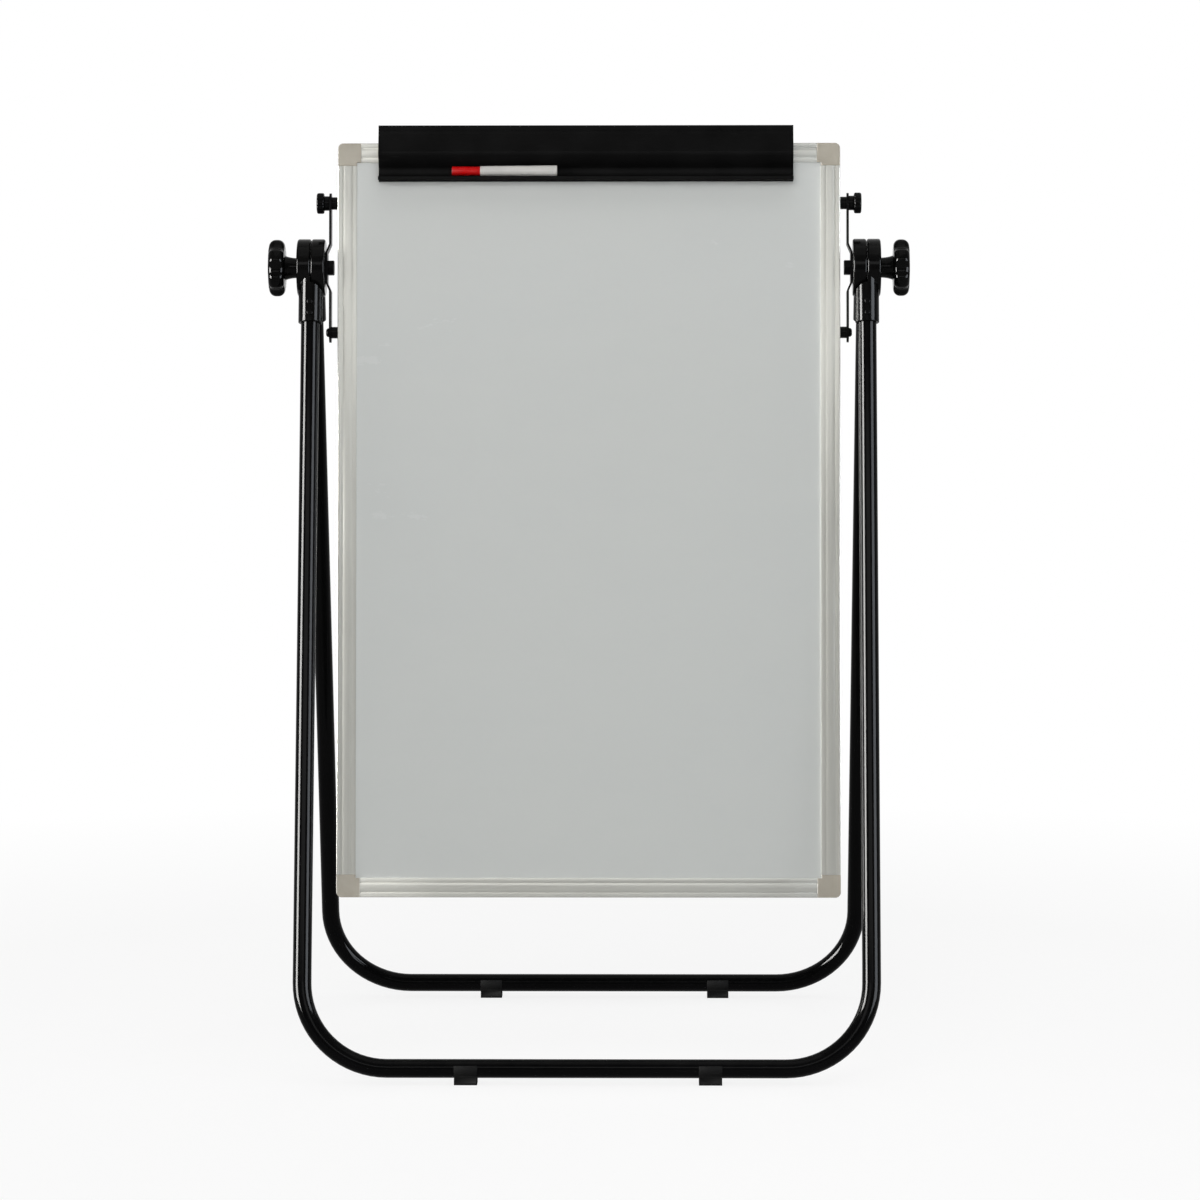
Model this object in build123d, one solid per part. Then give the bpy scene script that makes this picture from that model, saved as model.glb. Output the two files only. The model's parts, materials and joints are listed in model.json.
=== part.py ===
# A whiteboard easel: a double-sided board on tilting straps between two folding U-shaped stands.
# Millimetres, +X right, +Y away from the viewer, +Z up.
# The origin is on the floor, midway between the four feet and straight under the hub axis.

from build123d import *
from math import atan2, cos, degrees, hypot, radians, sin
import os

# Board and its frame
board_width = 600.0
board_height = 900.0
board_depth = 20.0
board_tilt = 8.0  # degrees that the board's top leans back
pivot_drop = 148.5  # from the board's top edge down to the hub axis
rail_width = 23.0
sheet_thickness = 0.4
core_thickness = 13.2
panel_slot_depth = 10.0
panel_edge_gap = 1.0  # between the panel and the bottom of the rails' slot
slot_mouth = 7.0  # the rails' outer slot, which the nuts slide in
slot_lip = 2.0
slot_width = 12.0
slot_depth = 7.2
chamber_wall = 1.4
chamber_width = 3.0
chamber_depth = 15.6
groove_width = 1.5
groove_depth = 0.8
outer_groove_at = 6.2
inner_groove_at = 17.6
rail_crown = 0.35  # the faces between the grooves bulge by this much
rail_edge_round = 1.0
cap_length_across = 28.0
cap_length_down = 27.0
cap_proud = 0.2
cap_corner_radius = 6.5
cap_edge_round = 0.8
tongue_length = 16.0
tongue_clearance = 0.1

# Stands
hub_height = 935.0
hub_side_gap = 31.5  # from the board's side to each leg's centre line
foot_reach = 275.0  # from the hub axis, forward or back, to each bottom bar
tube_diameter = 22.0
tube_wall = 1.2
bend_radius = 100.0
leg_offset = 16.0  # from the hub axis to a leg's centre line, so that folded legs lie side by side
front_feet_at = (-140.0, 144.0)
rear_feet_at = (-129.5, 157.5)
foot_width = 27.0
foot_pad_height = 7.0
foot_pad_depth = 20.0
foot_wall = 1.3
foot_grip = 5.0  # how far above the bar's centre line the foot reaches
foot_edge_round = 1.0

# Hubs
disc_radius = 34.5
disc_thickness = 16.4
disc_gap = 0.4
disc_edge_round = 2.6
sleeve_diameter = 28.5
sleeve_end = 71.0  # along the leg, from the hub
tube_start = 42.0
sleeve_top_radius = 38.8  # round the hub axis
sleeve_edge_round = 1.0
tube_fit = 0.05
socket_screws_at = (47.5, 61.0)
screw_diameter = 4.0
screw_head_diameter = 7.0
screw_head_height = 2.0
screw_reach = 5.5  # inwards from the sleeve's surface
recess_depth = 0.8
recess_width = 0.9
recess_share = 0.55  # of the head's diameter that the cross spans
head_crown_share = 0.7  # of the head's height that is rounded

# Straps and what fastens them
strap_thickness = 2.5
strap_width = 22.0
strap_hole_spacing = 155.0
strap_end_margin = 12.0  # from each end hole's middle to the strap's end
strap_jog_start = 18.0
strap_jog_end = 28.0
strap_bend_round = 3.0
strap_standoff = 7.8  # from the board's side to the ends of the strap
strap_running_gap = 0.2  # to the inner disc
spacer_gap = 0.1  # to the rail
upper_spacer_diameter = 15.0
lower_spacer_diameter = 13.8
stud_diameter = 6.0
stud_clearance = 0.2
thread_fit = 0.05
dome_diameter = 10.6
dome_height = 3.9
dome_crown = 3.1
hex_key_diameter = 3.0
hex_key_depth = 1.95
nut_length = 20.0
nut_clearance = 0.1
nut_thickness = 4.4
bolt_diameter = 10.0
bolt_head_flats = 17.0
bolt_head_height = 7.6
bolt_crown_diameter = 19.4  # of the turned cone that takes the hexagon's corners off
bolt_crown_depth = 1.1
bolt_tip_chamfer = 0.8
bolt_fit = 0.08

# Knobs
knob_gap = 0.2
knob_neck_length = 15.2
knob_neck_diameter = 24.0
knob_flare_diameter = 29.0
knob_wheel_thickness = 18.8
knob_wheel_radius = 33.8
knob_lobes = 6
knob_valley_radius = 13.0
knob_valley_depth = 5.2
knob_lobe_round = 5.0
knob_edge_round = 8.0
insert_diameter = 14.0
insert_length = 22.0
insert_setback = 2.0
bolt_setback = 4.0  # from the knob's outer face to the end of its bolt
thumb_neck_diameter = 17.4
thumb_neck_length = 6.2
thumb_head_diameter = 25.0
thumb_head_thickness = 8.9
thumb_grooves = 14
thumb_groove_radius = 1.8
thumb_groove_depth = 0.7
thumb_edge_round = 2.0
thumb_blind = 3.0  # solid plastic over the stud's end

# Clip, measured from the board's top edge down and from its mid-plane forward
clip_length = 495.0
clip_offset = -3.5  # to the right of the board's middle
clip_top = 20.5
clip_wall = 2.2
clip_top_front = 17.5
clip_shoulder_drop = -10.0
clip_shoulder_front = 19.5
clip_crease_drop = -13.6  # a fine groove along the clip's front
clip_crease_width = 1.6
clip_crease_depth = 0.6
clip_brow_drop = 14.2
clip_brow_front = 26.0
clip_brow_setback = 2.6  # from the brow back to its inner corner
clip_recess_drop = 31.0
clip_recess_front = 13.2
ledge_drop = 41.5
ledge_front = 29.0
clip_bottom_drop = 46.0
clip_ledge_round = 6.0
clip_brow_round = 6.0
clip_edge_round = 0.8
jaw_width = 3.0
grip_thickness = 1.6
grip_height = 4.5
grip_gap = 0.1
hinge_drop = 12.5
hinge_front = 16.5
hinge_inset = 87.5  # from each end of the clip
hinge_pin_diameter = 4.0
hinge_pin_fit = 0.06
hinge_pin_head_diameter = 6.0
hinge_pin_head_length = 1.0
hinge_plate_width = 46.0
hinge_plate_height = 15.0
hinge_plate_thickness = 1.5
hinge_ear_thickness = 1.5
hinge_ear_radius = 3.6
hinge_ear_spread = 10.0
clip_lug_thickness = 2.5
clip_lug_radius = 4.3
clip_lug_gap = 0.4
clip_lug_rise = 1.7  # above the pin, where the ear meets the clip's wall
hinge_screw_spread = 17.5
hinge_screw_diameter = 3.0
hinge_screw_head_diameter = 5.4
corner_screw_head_diameter = 5.7
small_screw_head_height = 1.5
spring_wire = 1.0
spring_coil_radius = 3.0
spring_turns = 4
spring_pitch = 1.25
spring_seat_gap = 0.2  # between a spring's leg and what it presses on

# Marker pen on the ledge
marker_inset = 87.8  # from the clip's left end
marker_cap_length = 33.8
marker_barrel_length = 90.5
marker_barrel_diameter = 13.2  # at its far end
marker_shoulder_diameter = 11.8  # at the cap
marker_cap_diameter = 10.8
marker_wall = 1.2
marker_shoulder_wall = 3.0
marker_edge_round = 0.6
marker_rim_round = 0.8
marker_cap_round = 1.2
marker_tip_diameter = 8.0
marker_tip_length = 14.0
marker_nib_diameter = 4.4
marker_nib_length = 9.0
marker_nib_round = 1.8
marker_cap_fit = 0.1
marker_seat_gap = 0.3
marker_plug_length = 5.0

# Worked out from the sizes above
board_top = pivot_drop
board_middle = pivot_drop - board_height / 2
half_width = board_width / 2
hub_half_span = half_width + hub_side_gap
half_depth = board_depth / 2
panel_half = core_thickness / 2 + sheet_thickness
bar_height = foot_pad_height + tube_diameter / 2
leg_drop = hub_height - bar_height
leg_length = (hypot(leg_drop, foot_reach) ** 2 - leg_offset**2) ** 0.5
leg_angle = degrees(atan2(foot_reach, leg_drop) - atan2(leg_offset, leg_length))
inner_disc = (hub_half_span - disc_gap / 2 - disc_thickness, hub_half_span - disc_gap / 2)
outer_disc = (hub_half_span + disc_gap / 2, hub_half_span + disc_gap / 2 + disc_thickness)
strap_hub_face = inner_disc[0] - strap_running_gap
strap_end_face = half_width + strap_standoff + strap_thickness
upper_hole = strap_hole_spacing / 2
strap_length = strap_hole_spacing + 2 * strap_end_margin
knob_start = outer_disc[1] + knob_gap
knob_end = knob_start + knob_neck_length + knob_wheel_thickness
nut_face = half_width - slot_lip - nut_clearance
ledge_level = board_top - ledge_drop
bottom_align = (Align.CENTER, Align.CENTER, Align.MIN)
clip_start = clip_offset - clip_length / 2
clip_wall_back = clip_recess_front - clip_wall
jaw_back = panel_half + grip_gap + grip_thickness
bracket_face = half_depth + hinge_plate_thickness
marker_start = clip_start + marker_inset
marker_joint = marker_start + marker_cap_length  # where the cap meets the barrel
marker_end = marker_joint + marker_barrel_length
marker_bore = marker_shoulder_diameter / 2 - marker_wall
marker_radius = marker_barrel_diameter / 2
marker_level = ledge_level + marker_radius + marker_seat_gap
marker_front = clip_recess_front + marker_radius + marker_seat_gap


def on_board(shape):
    """Leans a piece that was made upright round the hub axis."""
    return Pos(0, 0, hub_height) * Rot(-board_tilt, 0, 0) * shape


def on_leg(shape):
    """Leans a piece of the front stand, made with its leg upright under the hub axis."""
    return Pos(0, 0, hub_height) * Rot(-leg_angle, 0, 0) * shape


def to_left(shape):
    return mirror(shape, Plane.YZ)


def to_rear(shape):
    return mirror(shape, Plane.XZ)


def across(radius, start, end, y=0.0, z=0.0):
    """A cylinder along X from start to end."""
    return Pos((start + end) / 2, y, z) * Rot(0, 90, 0) * Cylinder(radius, end - start)


def cone_across(radius_start, radius_end, start, end):
    return Pos((start + end) / 2, 0, 0) * Rot(0, 90, 0) * Cone(radius_start, radius_end, end - start)


def block(x, y, z):
    """A box between pairs of limits."""
    size = (x[1] - x[0], y[1] - y[0], z[1] - z[0])
    return Pos((x[0] + x[1]) / 2, (y[0] + y[1]) / 2, (z[0] + z[1]) / 2) * Box(*size)


def rims_across(shape, radius):
    """The round edges of that radius that lie square to X."""
    round_edges = shape.edges().filter_by(GeomType.CIRCLE)
    return [e for e in round_edges if abs(e.radius - radius) < 1e-6 and e.bounding_box().size.X < 1e-6]


def rail_profile():
    """One rail's section: X runs inwards from its outer edge, Y through the board's depth."""
    groove = groove_width / 2
    crown_ends = half_depth - rail_crown
    lip_end = half_depth - 2 * rail_crown
    outline = [
        Line((0, 0), (0, half_depth - rail_edge_round)),
        ThreePointArc(
            (0, half_depth - rail_edge_round),
            (rail_edge_round * (1 - cos(radians(45))), half_depth - rail_edge_round * (1 - sin(radians(45)))),
            (rail_edge_round, half_depth),
        ),
        Polyline(
            (rail_edge_round, half_depth),
            (outer_groove_at - groove, half_depth),
            (outer_groove_at - groove, crown_ends - groove_depth),
            (outer_groove_at + groove, crown_ends - groove_depth),
            (outer_groove_at + groove, crown_ends),
        ),
        ThreePointArc(
            (outer_groove_at + groove, crown_ends),
            ((outer_groove_at + inner_groove_at) / 2, half_depth),
            (inner_groove_at - groove, crown_ends),
        ),
        Polyline(
            (inner_groove_at - groove, crown_ends),
            (inner_groove_at - groove, crown_ends - groove_depth),
            (inner_groove_at + groove, crown_ends - groove_depth),
            (inner_groove_at + groove, crown_ends),
            (rail_width, lip_end),
            (rail_width, panel_half),
            (rail_width - panel_slot_depth, panel_half),
            (rail_width - panel_slot_depth, 0),
            (0, 0),
        ),
    ]
    half = make_face(outline)
    whole = half + mirror(half, Plane.XZ)
    mouth = Pos(slot_lip / 2, 0) * Rectangle(slot_lip, slot_mouth)
    slot = Pos((slot_lip + slot_depth) / 2, 0) * Rectangle(slot_depth - slot_lip, slot_width)
    chamber_middle = slot_depth + chamber_wall + chamber_width / 2
    chamber = Pos(chamber_middle, 0) * Rectangle(chamber_width, chamber_depth)
    return whole - mouth - slot - chamber


def rail(origin, inwards, along, length):
    plane = Plane(origin=origin, x_dir=inwards, z_dir=along)
    return extrude(plane * rail_profile(), length)


def side_rail_left():
    top = (-half_width, 0, board_top - cap_length_down)
    return rail(top, (1, 0, 0), (0, 0, -1), board_height - 2 * cap_length_down)


def top_rail():
    start = (half_width - cap_length_across, 0, board_top)
    return rail(start, (0, 0, -1), (-1, 0, 0), board_width - 2 * cap_length_across)


def to_bottom(shape):
    return mirror(shape, Plane(origin=(0, 0, board_middle), z_dir=(0, 0, 1)))


def corner_cap():
    """The top left cap: an L that closes both rails, with a tongue in each rail's chamber."""
    left, top = -half_width, board_top
    reach = half_depth + cap_proud
    body = block((left, left + cap_length_across), (-reach, reach), (top - cap_length_down, top))
    corner = body.edges().filter_by(Axis.Y).sort_by(Axis.X)[:2].sort_by(Axis.Z)[-1]
    body = fillet(corner, cap_corner_radius)
    notch_x = (left + rail_width, left + cap_length_across + 1)
    notch_z = (top - cap_length_down - 1, top - rail_width)
    body -= block(notch_x, (-reach - 1, reach + 1), notch_z)
    outer = [e for e in body.edges() if abs(abs(e.center().Y) - reach) < 1e-6]
    body = fillet(outer, cap_edge_round)
    slot_start = rail_width - panel_slot_depth
    far = board_width / 4
    body -= block((left + slot_start, left + far), (-panel_half, panel_half), (top - far, top - slot_start))
    from_edge = slot_depth + chamber_wall + tongue_clearance
    to_edge = from_edge + chamber_width - 2 * tongue_clearance
    half_tongue = chamber_depth / 2 - tongue_clearance
    down_end = top - cap_length_down - tongue_length
    across_end = left + cap_length_across + tongue_length
    y = (-half_tongue, half_tongue)
    down = block((left + from_edge, left + to_edge), y, (down_end, top - cap_length_down + 1))
    sideways = block((left + cap_length_across - 1, across_end), y, (top - to_edge, top - from_edge))
    return body + down + sideways - corner_screw_holes()


def corner_screw_places():
    """Where the two screws of the top left corner stand, on the board's back."""
    line = slot_depth + chamber_wall + chamber_width / 2
    past = tongue_length / 2
    return [
        (-half_width + line, board_top - cap_length_down - past),
        (-half_width + cap_length_across + past, board_top - line),
    ]


def corner_screw_holes():
    hole = Rot(90, 0, 0) * Cylinder(hinge_screw_diameter / 2 + thread_fit, half_depth + 1)
    return Compound(children=[Pos(x, half_depth / 2, z) * hole for x, z in corner_screw_places()])


def pan_screw(diameter, head_diameter, head_height, reach):
    """A screw with a low domed head, pointing down from its seat at the origin."""
    head = Cylinder(head_diameter / 2, head_height, align=bottom_align)
    head = fillet(head.edges().sort_by(Axis.Z)[-1], head_height * head_crown_share)
    shank = Cylinder(diameter / 2, reach, align=(Align.CENTER, Align.CENTER, Align.MAX))
    bar = Pos(0, 0, head_height) * Box(head_diameter * recess_share, recess_width, 2 * recess_depth)
    return head + shank - bar - Rot(0, 0, 90) * bar


def leg_tube():
    """The front U, with its legs upright under the hub axis and its bar at the bottom."""
    side, low, y = hub_half_span, -leg_length, -leg_offset
    corners = [(-side, y, -tube_start), (-side, y, low), (side, y, low), (side, y, -tube_start)]
    path = FilletPolyline(*corners, radius=bend_radius)
    section = Circle(tube_diameter / 2) - Circle(tube_diameter / 2 - tube_wall)
    tube = sweep(Plane(origin=corners[0], z_dir=(0, 0, -1)) * section, path)
    holes = [socket_screw_hole(sign, down) for sign in (-1, 1) for down in socket_screws_at]
    return tube - Compound(children=holes)


def socket_screw_hole(sign, down):
    """Room for one socket screw, at that distance down the leg, through the front wall."""
    deep = sleeve_diameter
    hole = Rot(90, 0, 0) * Cylinder(screw_diameter / 2 + tube_fit, deep)
    return Pos(sign * hub_half_span, -leg_offset - deep / 2, -down) * hole


def socket_screws():
    seat = -leg_offset - sleeve_diameter / 2 + recess_depth / 2
    screw = pan_screw(screw_diameter, screw_head_diameter, screw_head_height, screw_reach)
    places = [(sign * hub_half_span, seat, -down) for sign in (-1, 1) for down in socket_screws_at]
    return Compound(children=[Pos(*place) * Rot(90, 0, 0) * screw for place in places])


def socket(disc):
    """The right front socket whose disc lies between those two distances from the middle."""
    start, end = disc
    wheel = across(disc_radius, start, end)
    wheel = fillet(rims_across(wheel, disc_radius), disc_edge_round)
    sleeve_height = sleeve_end - leg_offset
    sleeve = Pos(hub_half_span, -leg_offset, -sleeve_end + sleeve_height / 2)
    sleeve = sleeve * Cylinder(sleeve_diameter / 2, sleeve_height)
    sleeve = fillet(sleeve.edges().sort_by(Axis.Z)[0], sleeve_edge_round)
    far = 2 * sleeve_diameter
    below = -(disc_radius**2 - (leg_offset + sleeve_diameter / 2) ** 2) ** 0.5
    neck = sleeve & block((start, end), (-far, far), (-sleeve_end, below))
    sleeve -= across(sleeve_top_radius, start - far, end + far)
    body = wheel + sleeve + neck
    body -= across(bolt_diameter / 2 + bolt_fit, start - 1, end + 1)
    bore_depth = sleeve_end - tube_start
    bore = Pos(hub_half_span, -leg_offset, -tube_start - bore_depth / 2)
    body -= bore * Cylinder(tube_diameter / 2 + tube_fit, bore_depth)
    seat = recess_depth / 2
    for down in socket_screws_at:
        body -= socket_screw_hole(1, down)
        flat = Rot(90, 0, 0) * Cylinder(screw_head_diameter / 2 + tube_fit, seat * 2)
        body -= Pos(hub_half_span, -leg_offset - sleeve_diameter / 2, -down) * flat
    return body


def foot(x):
    """A foot under the front bar, made in place: a clip round the bar with a flat pad below."""
    y = -foot_reach
    radius = tube_diameter / 2 + foot_wall
    half = foot_width / 2
    ring = across(radius, x - half, x + half, y, bar_height)
    pad = block((x - half, x + half), (y - foot_pad_depth / 2, y + foot_pad_depth / 2), (0, bar_height))
    pad = fillet(pad.edges().filter_by(Axis.X).sort_by(Axis.Z)[:2], foot_edge_round)
    body = ring + pad - across(tube_diameter / 2 + tube_fit, x - foot_width, x + foot_width, y, bar_height)
    above = block((x - foot_width, x + foot_width), (y - 2 * radius, y + 2 * radius),
                  (bar_height + foot_grip, bar_height + 2 * radius))
    return body - above


def strap():
    """The right strap, upright: its middle lies on the hub's inner disc, its ends stand inwards."""
    face, end_face = strap_hub_face, strap_end_face
    end, high, low = strap_length / 2, strap_jog_end, strap_jog_start
    upper = [(end_face, end), (end_face, high), (face, low)]
    outer = upper + [(x, -z) for x, z in reversed(upper)]
    inner = [(x - strap_thickness, z) for x, z in reversed(outer)]
    side = make_face(Polyline(*outer, *inner, close=True))
    side = fillet([v for v in side.vertices() if abs(v.Y) < end - 1], strap_bend_round)
    bar = extrude(Plane.XZ * side, strap_width / 2, both=True)
    across_plane = Plane(origin=(half_width, 0, 0), x_dir=(0, 0, 1), z_dir=(1, 0, 0))
    bar &= extrude(across_plane * SlotOverall(strap_length, strap_width), knob_start - half_width)
    for z in (-upper_hole, upper_hole):
        bar -= across(stud_diameter / 2 + stud_clearance, half_width, face + 1, 0, z)
    return bar - across(bolt_diameter / 2 + bolt_fit, half_width, face + 1)


def pivot_bolt():
    """The right pivot bolt; its head is inside, against the strap."""
    seat = strap_hub_face - strap_thickness
    end = knob_end - bolt_setback
    plane = Plane(origin=(seat, 0, 0), x_dir=(0, 1, 0), z_dir=(-1, 0, 0))
    head = extrude(plane * RegularPolygon(bolt_head_flats / 2, 6, major_radius=False), bolt_head_height)
    crown = Pos(seat - bolt_head_height / 2, 0, 0) * Rot(0, 90, 0)
    crown = crown * Cylinder(bolt_crown_diameter / 2, bolt_head_height)
    crown = chamfer(crown.edges().sort_by(Axis.X)[0], bolt_crown_depth)
    shank = across(bolt_diameter / 2, seat, end)
    return (head & crown) + chamfer(shank.edges().sort_by(Axis.X)[-1], bolt_tip_chamfer)


def spacer(diameter, z):
    tube = across(diameter / 2, half_width + spacer_gap, half_width + strap_standoff, 0, z)
    return tube - across(stud_diameter / 2 + stud_clearance, half_width, strap_end_face, 0, z)


def rail_nut(z):
    """A nut in the right rail's slot."""
    half = slot_width / 2 - nut_clearance
    z_span = (z - nut_length / 2, z + nut_length / 2)
    body = block((nut_face - nut_thickness, nut_face), (-half, half), z_span)
    return body - across(stud_diameter / 2 + thread_fit, nut_face - slot_width, half_width, 0, z)


def strap_screw(z):
    """The screw that holds a strap's lower end, with a domed head outside."""
    shank = across(stud_diameter / 2, nut_face - nut_thickness, strap_end_face, 0, z)
    radius = dome_diameter / 2
    head = across(radius, strap_end_face, strap_end_face + dome_height, 0, z)
    head = fillet(head.edges().sort_by(Axis.X)[-1], dome_crown)
    socket_key = Plane(origin=(strap_end_face + dome_height, 0, z), x_dir=(0, 1, 0), z_dir=(-1, 0, 0))
    return shank + head - extrude(socket_key * RegularPolygon(hex_key_diameter / 2, 6), hex_key_depth)


def clamp_knob():
    """The right knob: a flared neck and a rounded, lobed wheel, hollow for its insert and bolt."""
    neck_end = knob_start + knob_neck_length
    neck = cone_across(knob_neck_diameter / 2, knob_flare_diameter / 2, knob_start, neck_end + 1)
    wheel = across(knob_wheel_radius, neck_end, knob_end)
    valley_centre = knob_wheel_radius - knob_valley_depth + knob_valley_radius
    for lobe in range(knob_lobes):
        turn = radians((lobe + 0.5) * 360 / knob_lobes)
        y, z = valley_centre * sin(turn), valley_centre * cos(turn)
        wheel -= across(knob_valley_radius, neck_end - 1, knob_end + 1, y, z)
    between_lobes = [e for e in wheel.edges() if e.bounding_box().size.X > knob_wheel_thickness / 2]
    wheel = fillet(between_lobes, knob_lobe_round)
    rims = [e for e in wheel.edges() if e.bounding_box().size.X < 1e-6]
    body = neck + fillet(rims, knob_edge_round)
    body -= across(bolt_diameter / 2 + stud_clearance, knob_start - 1, knob_end - bolt_setback + 1)
    return body - across(insert_diameter / 2, *insert_span())


def insert_span():
    start = knob_start + insert_setback
    return start, start + insert_length


def clamp_insert():
    start, end = insert_span()
    sleeve = across(insert_diameter / 2, start, end)
    return sleeve - across(bolt_diameter / 2 + thread_fit, start - 1, end + 1)


def thumb_knob():
    """The right thumb knob over the strap's upper hole."""
    z = upper_hole
    start = strap_end_face + spacer_gap
    neck_end = start + thumb_neck_length
    end = neck_end + thumb_head_thickness
    head = across(thumb_head_diameter / 2, neck_end, end, 0, z)
    head = fillet(head.edges().filter_by(GeomType.CIRCLE), thumb_edge_round)
    for groove in range(thumb_grooves):
        turn = radians(groove * 360 / thumb_grooves)
        out = thumb_head_diameter / 2 + thumb_groove_radius - thumb_groove_depth
        place = (out * sin(turn), z + out * cos(turn))
        head -= across(thumb_groove_radius, neck_end - 1, end + 1, *place)
    body = head + across(thumb_neck_diameter / 2, start, neck_end + 1, 0, z)
    return body - across(stud_diameter / 2, start - 1, end - thumb_blind, 0, z)


def thumb_stud():
    end = strap_end_face + spacer_gap + thumb_neck_length + thumb_head_thickness - thumb_blind
    return across(stud_diameter / 2, nut_face - nut_thickness, end, 0, upper_hole)


def clip_point(front, drop):
    """A point of the clip's section: forward is -Y, and the drop is from the board's top edge."""
    return (-front, board_top - drop)


def front_between(above, below, drop):
    """How far forward the line between two corners is at a drop."""
    share = (drop - above[1]) / (below[1] - above[1])
    return above[0] + share * (below[0] - above[0])


def clip_inside():
    """The inner wall's corners from the shoulder to the recess: front and drop."""
    return [
        (clip_shoulder_front - clip_wall, clip_shoulder_drop),
        (clip_brow_front - clip_brow_setback, clip_brow_drop),
        (clip_wall_back, clip_recess_drop - clip_wall / 2),
    ]


def clip_inside_front(drop):
    """How far forward the inner wall is at a drop between its shoulder and its recess."""
    shoulder, brow, foot = clip_inside()
    if drop < clip_brow_drop:
        return front_between(shoulder, brow, drop)
    return front_between(brow, foot, drop)


def clip_crease():
    """The corners of the groove along the clip's front."""
    top, shoulder = (clip_top_front, -clip_top), (clip_shoulder_front, clip_shoulder_drop)
    high, low = clip_crease_drop - clip_crease_width / 2, clip_crease_drop + clip_crease_width / 2
    high_front, low_front = front_between(top, shoulder, high), front_between(top, shoulder, low)
    return [
        (high_front, high),
        (high_front - clip_crease_depth, high),
        (low_front - clip_crease_depth, low),
        (low_front, low),
    ]


def clip_profile():
    wall = clip_wall
    skirt_top = ledge_drop + wall
    front = [
        (clip_top_front, -clip_top),
        *clip_crease(),
        (clip_shoulder_front, clip_shoulder_drop),
        (clip_brow_front, clip_brow_drop),
        (clip_recess_front, clip_recess_drop),
        (clip_recess_front, ledge_drop),
        (ledge_front, ledge_drop),
        (ledge_front, clip_bottom_drop),
        (ledge_front - wall, clip_bottom_drop),
        (ledge_front - wall, skirt_top),
        (jaw_back + jaw_width, skirt_top),
        (jaw_back + jaw_width, clip_bottom_drop),
        (jaw_back, clip_bottom_drop),
        (jaw_back, ledge_drop),
        (clip_wall_back, ledge_drop - wall),
        *reversed(clip_inside()),
        (clip_top_front - wall, -clip_top),
    ]
    return make_face(Polyline(*[clip_point(*place) for place in front], close=True))


def clip_bar():
    plane = Plane(origin=(clip_start, 0, 0), x_dir=(0, 1, 0), z_dir=(1, 0, 0))
    body = extrude(plane * clip_profile(), clip_length)
    for (y, z), radius in clip_rounds():
        corner = min(body.edges().filter_by(Axis.X), key=lambda e: hypot(e.center().Y - y, e.center().Z - z))
        body = fillet(corner, radius)
    for x in hinge_places():
        for sign in (-1, 1):
            body += clip_lug(x + sign * lug_middle())
    bore = hinge_pin_diameter / 2 + hinge_pin_fit
    return body - across(bore, clip_start, clip_start + clip_length, *hinge_point())


def clip_rounds():
    """The section's corners that are rounded, with their radii."""
    return [
        (clip_point(clip_recess_front, ledge_drop), clip_ledge_round),
        (clip_point(clip_brow_front, clip_brow_drop), clip_brow_round),
        (clip_point(clip_recess_front, clip_recess_drop), clip_brow_round),
        (clip_point(clip_top_front, -clip_top), clip_edge_round),
        (clip_point(ledge_front, ledge_drop), clip_edge_round),
        (clip_point(ledge_front, clip_bottom_drop), clip_edge_round),
    ]


def hinge_point():
    return clip_point(hinge_front, hinge_drop)


def hinge_places():
    return (clip_start + hinge_inset, clip_start + clip_length - hinge_inset)


def lug_middle():
    return hinge_ear_spread - hinge_ear_thickness / 2 - clip_lug_gap - clip_lug_thickness / 2


def clip_lug(x):
    """An ear inside the clip, from the middle of its wall to the hinge pin."""
    half = clip_lug_thickness / 2
    eye = across(clip_lug_radius, x - half, x + half, *hinge_point())
    high, low = hinge_drop - clip_lug_rise, hinge_drop + clip_lug_radius
    drops = sorted((high, clip_brow_drop, low))
    in_wall = [clip_point(clip_inside_front(drop) + clip_wall / 2, drop) for drop in drops]
    at_pin = [clip_point(hinge_front, drop) for drop in (low, high)]
    side = make_face(Polyline(*in_wall, *at_pin, close=True))
    plane = Plane(origin=(x - half, 0, 0), x_dir=(0, 1, 0), z_dir=(1, 0, 0))
    return eye + extrude(plane * side, clip_lug_thickness)


def grip_strip():
    """The rubber strip on the clip's jaw, which presses on the board."""
    low = board_top - clip_bottom_drop
    y = (-jaw_back, -jaw_back + grip_thickness)
    return block((clip_start, clip_start + clip_length), y, (low, low + grip_height))


def hinge_bracket(x):
    """A plate on the top rail with two ears for the pin."""
    y, z = hinge_point()
    face = half_depth
    half = hinge_plate_width / 2
    z_span = (z - hinge_plate_height / 2, z + hinge_plate_height / 2)
    body = block((x - half, x + half), (-bracket_face, -face), z_span)
    for sign in (-1, 1):
        middle = x + sign * hinge_ear_spread
        thick = hinge_ear_thickness / 2
        eye = across(hinge_ear_radius, middle - thick, middle + thick, y, z)
        ear_span = (z - hinge_ear_radius, z + hinge_ear_radius)
        body += eye + block((middle - thick, middle + thick), (y, -face), ear_span)
        hole = Cylinder(hinge_screw_diameter / 2 + thread_fit, 3 * hinge_plate_thickness)
        body -= Pos(x + sign * hinge_screw_spread, -face, z) * Rot(90, 0, 0) * hole
    return body - across(hinge_pin_diameter / 2 + thread_fit, x - half, x + half, y, z)


def hinge_screws():
    z = hinge_point()[1]
    reach = bracket_face - panel_half
    screw = pan_screw(hinge_screw_diameter, hinge_screw_head_diameter, small_screw_head_height, reach)
    places = [x + sign * hinge_screw_spread for x in hinge_places() for sign in (-1, 1)]
    return Compound(children=[Pos(x, -bracket_face, z) * Rot(90, 0, 0) * screw for x in places])


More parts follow.
